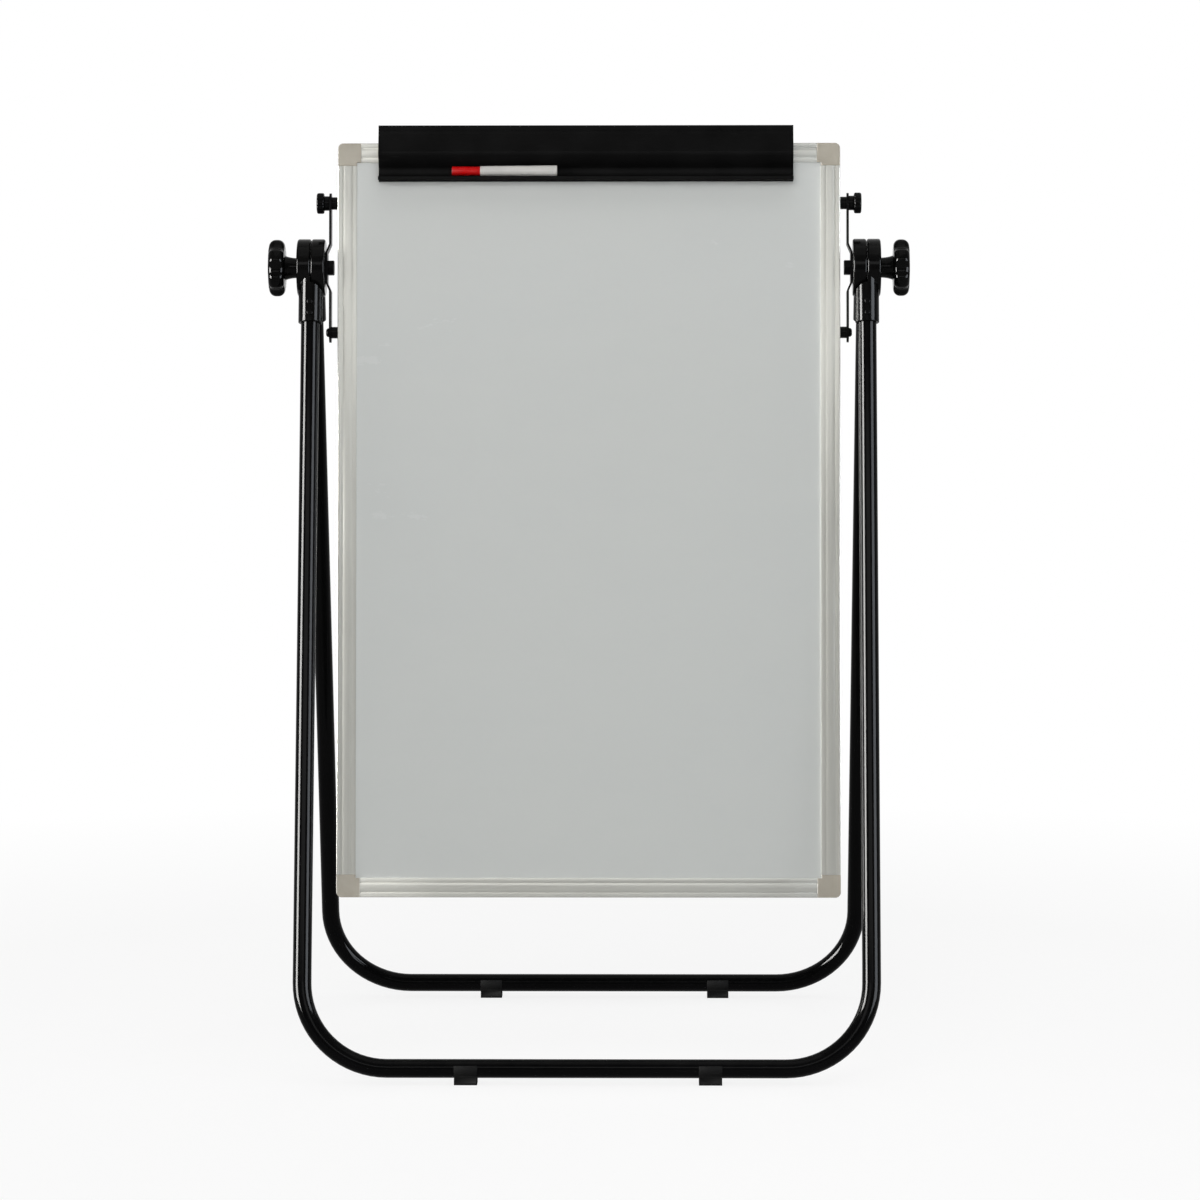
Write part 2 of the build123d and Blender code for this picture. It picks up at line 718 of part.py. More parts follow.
def hinge_pins():
    half = hinge_ear_spread + hinge_ear_thickness
    pins = []
    for x in hinge_places():
        pin = across(hinge_pin_diameter / 2, x - half, x + half, *hinge_point())
        head_end = x - half - hinge_pin_head_length
        pins.append(pin + across(hinge_pin_head_diameter / 2, head_end, x - half, *hinge_point()))
    return Compound(children=pins)


def spring_legs():
    """The lengths of a spring's leg towards the clip and of its leg towards the bracket."""
    lowest = hinge_drop + spring_coil_radius + spring_wire / 2
    to_clip = clip_inside_front(lowest) - hinge_front - spring_seat_gap
    return to_clip, hinge_front - bracket_face - spring_seat_gap


def clip_springs():
    """Two torsion springs round the pins, one leg on the bracket's plate and one on the clip."""
    y, z = hinge_point()
    height = spring_turns * spring_pitch
    wire = spring_wire / 2
    to_clip, to_bracket = spring_legs()
    springs = []
    for x in hinge_places():
        coil = Pos(x - height / 2, y, z) * Rot(0, 90, 0) * Helix(spring_pitch, height, spring_coil_radius)
        spring = sweep(Plane(origin=coil @ 0, z_dir=coil % 0) * Circle(wire), coil, is_frenet=True)
        for end, way, length in ((coil @ 0, -(coil % 0), to_clip), (coil @ 1, coil % 1, to_bracket)):
            spring += Plane(origin=end, z_dir=way) * Cylinder(wire, length, align=bottom_align)
        springs.append(spring)
    return Compound(children=springs)


def marker_piece(radius, start, end):
    return across(radius, start, end, -marker_front, marker_level)


def marker_barrel():
    """The barrel widens towards its far end; its tip goes into the cap."""
    taper = cone_across(marker_shoulder_diameter / 2, marker_radius, marker_joint, marker_end)
    body = Pos(0, -marker_front, marker_level) * taper
    body = fillet(body.edges().filter_by(GeomType.CIRCLE).sort_by(Axis.X)[0], marker_edge_round)
    body += marker_piece(marker_tip_diameter / 2, marker_joint - marker_tip_length, marker_joint + 1)
    body -= marker_piece(marker_bore, marker_joint + marker_shoulder_wall, marker_end + 1)
    through = marker_joint + marker_shoulder_wall + 1
    return body - marker_piece(marker_nib_diameter / 2, marker_joint - marker_tip_length - 1, through)


def marker_nib():
    start = marker_joint - marker_tip_length - marker_nib_length / 2
    nib = marker_piece(marker_nib_diameter / 2, start, marker_joint + marker_shoulder_wall)
    return fillet(nib.edges().filter_by(GeomType.CIRCLE).sort_by(Axis.X)[0], marker_nib_round)


def marker_reservoir():
    start = marker_joint + marker_shoulder_wall
    return marker_piece(marker_bore - marker_seat_gap, start, marker_end - marker_plug_length)


def marker_end_plug():
    plug = marker_piece(marker_bore, marker_end - marker_plug_length, marker_end)
    rim = marker_piece(marker_radius, marker_end, marker_end + marker_wall)
    return plug + fillet(rim.edges().sort_by(Axis.X)[-1], marker_rim_round)


def marker_cap():
    body = marker_piece(marker_cap_diameter / 2, marker_start, marker_joint - marker_cap_fit)
    body = fillet(body.edges().sort_by(Axis.X)[0], marker_cap_round)
    bore = marker_tip_diameter / 2 + marker_cap_fit
    return body - marker_piece(bore, marker_start + 2 * marker_wall, marker_joint)


def panel(half_thickness_from, half_thickness_to):
    """A sheet of the panel between two depths, forward being positive."""
    edge = rail_width - panel_slot_depth + panel_edge_gap
    x = (-half_width + edge, half_width - edge)
    z = (board_top - board_height + edge, board_top - edge)
    return block(x, (-half_thickness_to, -half_thickness_from), z)


def write(name, shape):
    export_step(shape, f"parts/{name}.step")


def write_stand(name, disc, foot_places, turn):
    tube = on_leg(leg_tube())
    right = on_leg(socket(disc))
    screws = on_leg(socket_screws())
    write(f"{name}_leg_tube", turn(tube))
    write(f"{name}_socket_right", turn(right))
    write(f"{name}_socket_left", turn(to_left(right)))
    write(f"{name}_socket_screws", turn(screws))
    for side, x in zip(("left", "right"), foot_places):
        write(f"{name}_foot_{side}", turn(foot(x)))


def write_sides(name, right):
    write(f"{name}_right", right)
    write(f"{name}_left", to_left(right))


def write_brackets():
    write_sides("strap", on_board(strap()))
    write_sides("pivot_bolt", on_board(pivot_bolt()))
    write_pair("upper_spacers", on_board(spacer(upper_spacer_diameter, upper_hole)))
    write_pair("lower_spacers", on_board(spacer(lower_spacer_diameter, -upper_hole)))
    write_pair("lower_strap_screws", on_board(strap_screw(-upper_hole)))
    nuts = [on_board(rail_nut(z)) for z in (-upper_hole, upper_hole)]
    write("rail_nuts", Compound(children=nuts + [to_left(nut) for nut in nuts]))
    write_sides("clamp_knob", on_board(clamp_knob()))
    write_sides("clamp_insert", on_board(clamp_insert()))
    write_sides("thumb_knob", on_board(thumb_knob()))
    write_sides("thumb_stud", on_board(thumb_stud()))


def write_pair(name, right):
    write(name, Compound(children=[right, to_left(right)]))


def write_board():
    holes = corner_screw_holes()
    all_holes = Compound(children=[holes, to_left(holes), to_bottom(holes), to_bottom(to_left(holes))])
    top = top_rail() - all_holes
    left = side_rail_left() - all_holes
    for x in hinge_places():
        for sign in (-1, 1):
            hole = Cylinder(hinge_screw_diameter / 2 + thread_fit, half_depth)
            top -= Pos(x + sign * hinge_screw_spread, -half_depth, hinge_point()[1]) * Rot(90, 0, 0) * hole
    write("rail_top", on_board(top))
    write("rail_bottom", on_board(to_bottom(top_rail()) - all_holes))
    write("rail_left", on_board(left))
    write("rail_right", on_board(to_left(left)))
    cap = corner_cap()
    write("corner_cap_top_left", on_board(cap))
    write("corner_cap_top_right", on_board(to_left(cap)))
    write("corner_cap_bottom_left", on_board(to_bottom(cap)))
    write("corner_cap_bottom_right", on_board(to_bottom(to_left(cap))))
    screw = pan_screw(hinge_screw_diameter, corner_screw_head_diameter, small_screw_head_height, half_depth)
    corner = [Pos(x, half_depth, z) * Rot(-90, 0, 0) * screw for x, z in corner_screw_places()]
    screws = Compound(children=corner)
    sides = [screws, to_left(screws)]
    write("corner_screws", on_board(Compound(children=sides + [to_bottom(side) for side in sides])))
    half_core = core_thickness / 2
    write("board_core", on_board(panel(-half_core, half_core)))
    write("front_writing_sheet", on_board(panel(half_core, panel_half)))
    write("rear_writing_sheet", on_board(panel(-panel_half, -half_core)))


def write_clip():
    write("clip_bar", on_board(clip_bar()))
    write("clip_grip_strip", on_board(grip_strip()))
    for side, x in zip(("left", "right"), hinge_places()):
        write(f"clip_bracket_{side}", on_board(hinge_bracket(x)))
    write("clip_bracket_screws", on_board(hinge_screws()))
    write("clip_hinge_pins", on_board(hinge_pins()))
    write("clip_springs", on_board(clip_springs()))


def write_marker():
    write("marker_barrel", on_board(marker_barrel()))
    write("marker_nib", on_board(marker_nib()))
    write("marker_reservoir", on_board(marker_reservoir()))
    write("marker_end_plug", on_board(marker_end_plug()))
    write("marker_cap", on_board(marker_cap()))


os.makedirs("parts", exist_ok=True)
write_stand("front", outer_disc, front_feet_at, lambda shape: shape)
write_stand("rear", inner_disc, rear_feet_at, to_rear)
write_brackets()
write_board()
write_clip()
write_marker()
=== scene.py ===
# Looks for the whiteboard easel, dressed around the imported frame
import json
import math

import bmesh
import bpy
from mathutils import Matrix, Vector


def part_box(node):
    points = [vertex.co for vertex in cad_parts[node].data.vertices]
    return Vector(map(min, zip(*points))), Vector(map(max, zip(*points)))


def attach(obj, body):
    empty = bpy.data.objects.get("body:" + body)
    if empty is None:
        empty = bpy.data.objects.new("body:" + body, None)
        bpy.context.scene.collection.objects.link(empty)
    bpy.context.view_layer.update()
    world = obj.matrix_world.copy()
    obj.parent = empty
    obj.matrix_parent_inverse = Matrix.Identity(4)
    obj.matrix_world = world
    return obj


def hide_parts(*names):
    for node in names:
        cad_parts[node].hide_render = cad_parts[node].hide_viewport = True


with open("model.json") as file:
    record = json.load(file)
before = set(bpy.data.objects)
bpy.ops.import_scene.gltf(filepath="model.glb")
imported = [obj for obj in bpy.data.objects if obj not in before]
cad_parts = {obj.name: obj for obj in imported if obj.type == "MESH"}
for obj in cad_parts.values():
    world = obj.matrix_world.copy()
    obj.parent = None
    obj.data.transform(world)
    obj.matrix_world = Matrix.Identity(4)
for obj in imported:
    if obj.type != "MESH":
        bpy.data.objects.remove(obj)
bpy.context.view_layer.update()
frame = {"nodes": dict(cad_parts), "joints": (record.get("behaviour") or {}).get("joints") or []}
nodes = frame["nodes"]
joints = {joint["name"]: joint for joint in frame["joints"]}
slideAxis = joints["board_height"]["axis"]
boardTilt = math.atan2(slideAxis[1], slideAxis[2])  # how far the board's top leans back
mm = 0.001
mergeDistance = 1e-6
cadMergeDistance = 2e-6  # for the loose triangles of a CAD node
flatAngle = 0.6  # degrees within which neighbouring CAD faces are one
print("frame loaded:", len(nodes), "nodes")


# Small helpers for working as by hand

def deselectAll():
    if bpy.context.mode != "OBJECT":
        bpy.ops.object.mode_set(mode="OBJECT")
    bpy.ops.object.select_all(action="DESELECT")


def activate(obj):
    deselectAll()
    obj.select_set(True)
    bpy.context.view_layer.objects.active = obj


def selectFaces(obj, test):
    # goes into edit mode with only the faces that pass the test selected
    activate(obj)
    bpy.ops.object.mode_set(mode="EDIT")
    bpy.ops.mesh.select_mode(type="FACE")
    bpy.ops.mesh.select_all(action="DESELECT")
    mesh = bmesh.from_edit_mesh(obj.data)
    for face in mesh.faces:
        if test(face.calc_center_median(), face.normal):
            face.select_set(True)
    mesh.select_flush_mode()
    bmesh.update_edit_mesh(obj.data)


def leaveEdit():
    bpy.ops.object.mode_set(mode="OBJECT")


def useModifier(obj, kind, **settings):
    activate(obj)
    modifier = obj.modifiers.new(kind.title(), kind)
    for key, value in settings.items():
        setattr(modifier, key, value)
    bpy.ops.object.modifier_apply(modifier=modifier.name)


def softenEdges(obj, width, segments, angle):
    useModifier(obj, "BEVEL", width=width, segments=segments, limit_method="ANGLE",
                angle_limit=math.radians(angle), use_clamp_overlap=True, harden_normals=False)


def shadeSmooth(obj, angle):
    activate(obj)
    bpy.ops.object.shade_smooth_by_angle(angle=math.radians(angle))


def recalcOutside(obj):
    activate(obj)
    bpy.ops.object.mode_set(mode="EDIT")
    bpy.ops.mesh.select_all(action="SELECT")
    bpy.ops.mesh.remove_doubles(threshold=mergeDistance)
    bpy.ops.mesh.normals_make_consistent(inside=False)
    leaveEdit()


def wearPiece(obj, material, body, slot, *replaced):
    obj.data.materials.clear()
    obj.data.materials.append(material)
    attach(obj, body)
    if replaced:
        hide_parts(*replaced)


def cadCopy(node, name):
    # a clean copy of a CAD node to soften: its loose triangles merged and its flat faces whole
    obj = nodes[node].copy()
    obj.data = nodes[node].data.copy()
    obj.name = name
    obj.parent = None
    for key in list(obj.keys()):
        del obj[key]
    bpy.context.scene.collection.objects.link(obj)
    activate(obj)
    bpy.ops.object.mode_set(mode="EDIT")
    bpy.ops.mesh.select_all(action="SELECT")
    bpy.ops.mesh.remove_doubles(threshold=cadMergeDistance)
    bpy.ops.mesh.dissolve_limited(angle_limit=math.radians(flatAngle))
    bpy.ops.mesh.normals_make_consistent(inside=False)
    leaveEdit()
    return obj


# Shader building blocks

def newGroup(name, inputs, outputs):
    group = bpy.data.node_groups.new(name, "ShaderNodeTree")
    for label, kind, value in inputs:
        group.interface.new_socket(label, in_out="INPUT", socket_type=kind).default_value = value
    for label, kind in outputs:
        group.interface.new_socket(label, in_out="OUTPUT", socket_type=kind)
    entry = group.nodes.new("NodeGroupInput")
    leave = group.nodes.new("NodeGroupOutput")
    return group, entry, leave


def addNode(tree, kind, **settings):
    node = tree.nodes.new(kind)
    for key, value in settings.items():
        setattr(node, key, value)
    return node


def mathNode(tree, operation, first, second, clamp=False):
    node = addNode(tree, "ShaderNodeMath", operation=operation, use_clamp=clamp)
    for socket, value in zip(node.inputs, (first, second)):
        if isinstance(value, (int, float)):
            socket.default_value = value
        else:
            tree.links.new(value, socket)
    return node.outputs[0]


def mapRange(tree, value, fromLow, fromHigh, toLow=0.0, toHigh=1.0):
    node = addNode(tree, "ShaderNodeMapRange")
    tree.links.new(value, node.inputs["Value"])
    for label, number in (("From Min", fromLow), ("From Max", fromHigh), ("To Min", toLow), ("To Max", toHigh)):
        node.inputs[label].default_value = number
    return node.outputs["Result"]


def spreadNoise(tree, value, low=0.0, high=1.0):
    # stretches the middle of a noise, where most of it lies, over a range
    return mapRange(tree, value, 0.3, 0.7, low, high)


def mixColour(tree, factor, first, second):
    node = addNode(tree, "ShaderNodeMix", data_type="RGBA")
    for socket, value in ((node.inputs[0], factor), (node.inputs[6], first), (node.inputs[7], second)):
        if isinstance(value, tuple):
            socket.default_value = (*value, 1.0)
        else:
            tree.links.new(value, socket)
    return node.outputs[2]


def noise(tree, vector, scale, detail=3.0, roughness=0.55, stretch=None):
    if stretch:
        mapping = addNode(tree, "ShaderNodeMapping")
        mapping.inputs["Scale"].default_value = stretch
        tree.links.new(vector, mapping.inputs["Vector"])
        vector = mapping.outputs["Vector"]
    node = addNode(tree, "ShaderNodeTexNoise")
    node.inputs["Scale"].default_value = scale
    node.inputs["Detail"].default_value = detail
    node.inputs["Roughness"].default_value = roughness
    tree.links.new(vector, node.inputs["Vector"])
    return node.outputs["Fac"]


dustShape = {"upFrom": 0.15, "upTo": 0.95, "scale": 45.0, "from": 0.35, "to": 0.7, "roughen": 1.5}


def buildDustGroup(shape):
    # dust that settles on faces that look up, in soft patches
    group, entry, leave = newGroup(
        "dustOnTop",
        [("Color", "NodeSocketColor", (0.02, 0.02, 0.02, 1)), ("Dust", "NodeSocketColor", (0.35, 0.33, 0.3, 1)),
         ("Amount", "NodeSocketFloat", 0.1), ("Roughness", "NodeSocketFloat", 0.3)],
        [("Color", "NodeSocketColor"), ("Roughness", "NodeSocketFloat")])
    place = addNode(group, "ShaderNodeTexCoord").outputs["Object"]
    normal = addNode(group, "ShaderNodeNewGeometry").outputs["Normal"]
    parts = addNode(group, "ShaderNodeSeparateXYZ")
    group.links.new(normal, parts.inputs[0])
    up = mapRange(group, parts.outputs["Z"], shape["upFrom"], shape["upTo"])
    patches = mapRange(group, noise(group, place, shape["scale"], 5.0, 0.65), shape["from"], shape["to"])
    mask = mathNode(group, "MULTIPLY", mathNode(group, "MULTIPLY", up, patches), entry.outputs["Amount"], True)
    colour = mixColour(group, mask, entry.outputs["Color"], entry.outputs["Dust"])
    rougher = mathNode(group, "MULTIPLY", mask, shape["roughen"])
    rough = mathNode(group, "ADD", entry.outputs["Roughness"], rougher, True)
    group.links.new(colour, leave.inputs["Color"])
    group.links.new(rough, leave.inputs["Roughness"])
    return group


scuffShape = {"turn": (0.6, 0.9, 0.4), "stretch": (1.0, 9.0, 1.6), "lineFrom": 0.62, "lineTo": 0.72,
              "patchScale": 14.0, "patchFrom": 0.45, "patchTo": 0.75, "roughen": 0.25}


def buildScuffGroup(shape):
    # fine handling scratches and rubbed patches
    group, entry, leave = newGroup(
        "handlingScuffs",
        [("Color", "NodeSocketColor", (0.02, 0.02, 0.02, 1)), ("Rubbed", "NodeSocketColor", (0.06, 0.06, 0.06, 1)),
         ("Amount", "NodeSocketFloat", 0.3), ("Roughness", "NodeSocketFloat", 0.3),
         ("Scale", "NodeSocketFloat", 60.0)],
        [("Color", "NodeSocketColor"), ("Roughness", "NodeSocketFloat"), ("Mask", "NodeSocketFloat")])
    place = addNode(group, "ShaderNodeTexCoord").outputs["Object"]
    warped = addNode(group, "ShaderNodeMapping")
    warped.inputs["Rotation"].default_value = shape["turn"]
    warped.inputs["Scale"].default_value = shape["stretch"]
    group.links.new(place, warped.inputs["Vector"])
    lines = addNode(group, "ShaderNodeTexNoise")
    lines.inputs["Detail"].default_value = 4.0
    group.links.new(warped.outputs["Vector"], lines.inputs["Vector"])
    group.links.new(entry.outputs["Scale"], lines.inputs["Scale"])
    scratch = mapRange(group, lines.outputs["Fac"], shape["lineFrom"], shape["lineTo"])
    patches = mapRange(group, noise(group, place, shape["patchScale"], 4.0), shape["patchFrom"], shape["patchTo"])
    mask = mathNode(group, "MULTIPLY", mathNode(group, "MULTIPLY", scratch, patches), entry.outputs["Amount"], True)
    colour = mixColour(group, mask, entry.outputs["Color"], entry.outputs["Rubbed"])
    rougher = mathNode(group, "MULTIPLY", mask, shape["roughen"])
    rough = mathNode(group, "ADD", entry.outputs["Roughness"], rougher, True)
    group.links.new(colour, leave.inputs["Color"])
    group.links.new(rough, leave.inputs["Roughness"])
    group.links.new(mask, leave.inputs["Mask"])
    return group


dustGroup = buildDustGroup(dustShape)
scuffGroup = buildScuffGroup(scuffShape)


def useGroup(tree, group, **values):
    node = addNode(tree, "ShaderNodeGroup")
    node.node_tree = group
    for label, value in values.items():
        socket = node.inputs[label]
        if isinstance(value, (int, float)):
            socket.default_value = value
        elif isinstance(value, tuple):
            socket.default_value = (*value, 1.0)
        else:
            tree.links.new(value, socket)
    return node


def startMaterial(name, **shaderValues):
    material = bpy.data.materials.new(name)
    material.use_nodes = True
    tree = material.node_tree
    shader = next(n for n in tree.nodes if n.type == "BSDF_PRINCIPLED")
    for label, value in shaderValues.items():
        shader.inputs[label.replace("_", " ")].default_value = value
    place = addNode(tree, "ShaderNodeTexCoord").outputs["Object"]
    return material, tree, shader, place


def addBump(tree, shader, height, strength, distance):
    bump = addNode(tree, "ShaderNodeBump")
    bump.inputs["Strength"].default_value = strength
    bump.inputs["Distance"].default_value = distance
    tree.links.new(height, bump.inputs["Height"])
    tree.links.new(bump.outputs["Normal"], shader.inputs["Normal"])


def darkFinish(name, look):
    # black paint, plastic and rubber: base colour, gloss, texture bump, scuffs and dust
    material, tree, shader, place = startMaterial(name, Specular_IOR_Level=look["specular"])
    tone = spreadNoise(tree, noise(tree, place, look["toneScale"]))
    base = mixColour(tree, tone, look["dark"], look["light"])
    gloss = spreadNoise(tree, noise(tree, place, look["glossScale"], 4.0), *look["roughness"])
    rubbed = useGroup(tree, scuffGroup, Color=base, Rubbed=look["rubbed"], Amount=look["scuffs"],
                      Roughness=gloss, Scale=look["scuffScale"])
    dusty = useGroup(tree, dustGroup, Color=rubbed.outputs["Color"], Dust=look["dustColour"],
                     Amount=look["dust"], Roughness=rubbed.outputs["Roughness"])
    tree.links.new(dusty.outputs["Color"], shader.inputs["Base Color"])
    tree.links.new(dusty.outputs["Roughness"], shader.inputs["Roughness"])
    fine = noise(tree, place, look["bumpScale"], look["bumpDetail"], 0.5, look.get("stretch"))
    addBump(tree, shader, fine, look["bumpStrength"], look["bumpDepth"])
    return material


dustTint = (0.16, 0.155, 0.145)
tubePaintLook = {"specular": 0.03, "dark": (0.001, 0.001, 0.0011), "light": (0.002, 0.002, 0.0022),
                 "toneScale": 9.0, "glossScale": 30.0, "roughness": (0.07, 0.11), "rubbed": (0.012, 0.012, 0.013),
                 "scuffs": 0.12, "scuffScale": 70.0, "dustColour": dustTint, "dust": 0.02,
                 "bumpScale": 300.0, "bumpDetail": 1.0, "bumpStrength": 0.004, "bumpDepth": 0.0003}
hubPlasticLook = {"specular": 0.035, "dark": (0.0014, 0.0014, 0.0014), "light": (0.003, 0.003, 0.003),
                  "toneScale": 25.0, "glossScale": 60.0, "roughness": (0.09, 0.15), "rubbed": (0.01, 0.01, 0.01),
                  "scuffs": 0.15, "scuffScale": 90.0, "dustColour": dustTint, "dust": 0.03,
                  "bumpScale": 900.0, "bumpDetail": 1.0, "bumpStrength": 0.04, "bumpDepth": 0.00015}
knobPlasticLook = dict(hubPlasticLook, roughness=(0.07, 0.13), specular=0.035, scuffs=0.35, scuffScale=120.0)
strapPaintLook = dict(tubePaintLook, roughness=(0.24, 0.36), scuffs=0.5, scuffScale=130.0,
                      rubbed=(0.03, 0.03, 0.03))
rubberLook = {"specular": 0.03, "dark": (0.0014, 0.0014, 0.0014), "light": (0.0035, 0.0035, 0.0035),
              "toneScale": 60.0, "glossScale": 110.0, "roughness": (0.6, 0.8), "rubbed": (0.012, 0.012, 0.011),
              "scuffs": 0.6, "scuffScale": 160.0, "dustColour": dustTint, "dust": 0.05,
              "bumpScale": 1900.0, "bumpDetail": 4.0, "bumpStrength": 0.4, "bumpDepth": 0.0002}
clipFinishLook = {"specular": 0.03, "dark": (0.001, 0.001, 0.001), "light": (0.0017, 0.0017, 0.0017),
                  "toneScale": 12.0, "glossScale": 24.0, "roughness": (0.34, 0.42), "rubbed": (0.01, 0.01, 0.01),
                  "scuffs": 0.3, "scuffScale": 55.0, "dustColour": dustTint, "dust": 0.012,
                  "bumpScale": 1600.0, "bumpDetail": 2.0, "bumpStrength": 0.12, "bumpDepth": 0.0001,
                  "stretch": (0.03, 1.0, 1.0)}

tubePaint = darkFinish("tubePaint", tubePaintLook)
hubPlastic = darkFinish("hubPlastic", hubPlasticLook)
knobPlastic = darkFinish("knobPlastic", knobPlasticLook)
strapPaint = darkFinish("strapPaint", strapPaintLook)
footRubber = darkFinish("footRubber", rubberLook)
gripRubber = darkFinish("gripRubber", dict(rubberLook, dust=0.04, scuffs=0.3))
clipFinish = darkFinish("clipFinish", clipFinishLook)


def metalFinish(name, look):
    # bare or plated metal with drawing lines along one direction
    material, tree, shader, place = startMaterial(name, Metallic=look["metallic"])
    turned = addNode(tree, "ShaderNodeMapping")
    turned.inputs["Rotation"].default_value = look.get("turn", (0, 0, 0))
    tree.links.new(place, turned.inputs["Vector"])
    along = turned.outputs["Vector"]
    lines = noise(tree, along, look["lineScale"], 3.0, 0.6, look["stretch"])
    cloud = noise(tree, place, look["cloudScale"], 3.0)
    tone = mathNode(tree, "ADD", mathNode(tree, "MULTIPLY", lines, look["lineShare"]),
                    mathNode(tree, "MULTIPLY", cloud, look["cloudShare"]))
    colour = mixColour(tree, mapRange(tree, tone, *look["toneRange"]), look["dark"], look["light"])
    gloss = spreadNoise(tree, tone, *look["roughness"])
    rubbed = useGroup(tree, scuffGroup, Color=colour, Rubbed=look["rubbed"], Amount=look["scuffs"],
                      Roughness=gloss, Scale=look["scuffScale"])
    tree.links.new(rubbed.outputs["Color"], shader.inputs["Base Color"])
    tree.links.new(rubbed.outputs["Roughness"], shader.inputs["Roughness"])
    addBump(tree, shader, lines, look["bumpStrength"], look["bumpDepth"])
    return material


railLook = {"metallic": 0.35, "lineScale": 400.0, "stretch": (0.004, 1.0, 1.0), "cloudScale": 5.0,
            "lineShare": 0.6, "cloudShare": 0.4, "toneRange": (0.35, 0.65),
            "dark": (0.315, 0.314, 0.289), "light": (0.35, 0.35, 0.322), "roughness": (0.27, 0.34),
            "rubbed": (0.33, 0.33, 0.31), "scuffs": 0.1, "scuffScale": 80.0,
            "bumpStrength": 0.1, "bumpDepth": 0.0001}
railAcross = metalFinish("railAcross", railLook)
railUpright = metalFinish("railUpright", dict(railLook, turn=(boardTilt, math.pi / 2, 0)))
platedSteel = metalFinish("platedSteel", dict(railLook, metallic=0.95, stretch=(1, 1, 1), lineScale=700.0,
                                              dark=(0.42, 0.42, 0.41), light=(0.6, 0.6, 0.58),
                                              roughness=(0.28, 0.4), scuffs=0.5))
insertBrass = metalFinish("insertBrass", dict(railLook, metallic=1.0, stretch=(1, 1, 1), lineScale=700.0,
                                              dark=(0.55, 0.38, 0.16), light=(0.78, 0.58, 0.3), scuffs=0.5))


writingLacquerLook = {"specular": 0.3, "coatRoughness": 0.08, "clean": (0.475, 0.49, 0.478),
                      "smear": (0.448, 0.465, 0.458), "roughness": (0.2, 0.32), "coat": (0.2, 0.08),
                      "broadScale": 2.6, "wipedScale": 9.0, "wipedStretch": (0.35, 1.0, 1.0),
                      "ghostScale": 34.0, "ghostStretch": (0.5, 1.0, 1.3), "streaks": 0.6, "ghosts": 0.35,
                      "streakRange": (0.14, 0.4), "ghostRange": (0.58, 0.8),
                      "bumpScale": 45.0, "bumpStrength": 0.03, "bumpDepth": 0.0004}


def writingLacquerMaterial(look):
    # smooth light grey lacquer with faint wiped-off marks and smears
    material, tree, shader, place = startMaterial("writingLacquer", Specular_IOR_Level=look["specular"],
                                                  Coat_Roughness=look["coatRoughness"])
    broad = noise(tree, place, look["broadScale"], 4.0, 0.6)
    wiped = noise(tree, place, look["wipedScale"], 5.0, 0.62, look["wipedStretch"])
    streak = mapRange(tree, mathNode(tree, "MULTIPLY", broad, wiped), *look["streakRange"])
    ghost = noise(tree, place, look["ghostScale"], 6.0, 0.7, look["ghostStretch"])
    faint = mathNode(tree, "MULTIPLY", mapRange(tree, ghost, *look["ghostRange"]), look["ghosts"])
    mask = mathNode(tree, "ADD", mathNode(tree, "MULTIPLY", streak, look["streaks"]), faint, True)
    tree.links.new(mixColour(tree, mask, look["clean"], look["smear"]), shader.inputs["Base Color"])
    tree.links.new(mapRange(tree, mask, 0.0, 1.0, *look["roughness"]), shader.inputs["Roughness"])
    tree.links.new(mapRange(tree, mask, 0.0, 1.0, *look["coat"]), shader.inputs["Coat Weight"])
    addBump(tree, shader, noise(tree, place, look["bumpScale"], 2.0), look["bumpStrength"], look["bumpDepth"])
    return material


coreFibreLook = {"specular": 0.2, "dark": (0.30, 0.22, 0.14), "light": (0.46, 0.36, 0.24), "scale": 400.0,
                 "stretch": (0.4, 1.0, 1.0), "roughness": (0.75, 0.95), "bumpStrength": 0.5, "bumpDepth": 0.0003}
inkFeltLook = dict(coreFibreLook, dark=(0.12, 0.004, 0.006), light=(0.3, 0.012, 0.016), scale=1500.0)


def fibreMaterial(name, look):
    # pressed fibres, drawn out along X
    material, tree, shader, place = startMaterial(name, Specular_IOR_Level=look["specular"])
    fibres = noise(tree, place, look["scale"], 6.0, 0.7, look["stretch"])
    colour = mixColour(tree, spreadNoise(tree, fibres), look["dark"], look["light"])
    tree.links.new(colour, shader.inputs["Base Color"])
    tree.links.new(spreadNoise(tree, fibres, *look["roughness"]), shader.inputs["Roughness"])
    addBump(tree, shader, fibres, look["bumpStrength"], look["bumpDepth"])
    return material


cornerPlasticLook = {"specular": 0.3, "dark": (0.27, 0.245, 0.195), "light": (0.32, 0.292, 0.235),
                     "toneScale": 30.0, "toneDetail": 5.0, "glossScale": 120.0, "roughness": (0.4, 0.52),
                     "rubbed": (0.2, 0.18, 0.15), "scuffs": 0.35, "scuffScale": 110.0,
                     "bumpScale": 2200.0, "bumpStrength": 0.3, "bumpDepth": 0.00015}
markerRedLook = {"specular": 0.08, "dark": (0.39, 0.0005, 0.001), "light": (0.46, 0.001, 0.0015),
                 "toneScale": 60.0, "toneDetail": 4.0, "glossScale": 150.0, "roughness": (0.22, 0.34),
                 "rubbed": (0.46, 0.01, 0.012), "scuffs": 0.4, "scuffScale": 180.0,
                 "bumpScale": 900.0, "bumpStrength": 0.1, "bumpDepth": 0.00015}
markerWhiteLook = dict(markerRedLook, dark=(0.455, 0.45, 0.432), light=(0.51, 0.505, 0.482),
                       rubbed=(0.3, 0.3, 0.29), roughness=(0.25, 0.36))


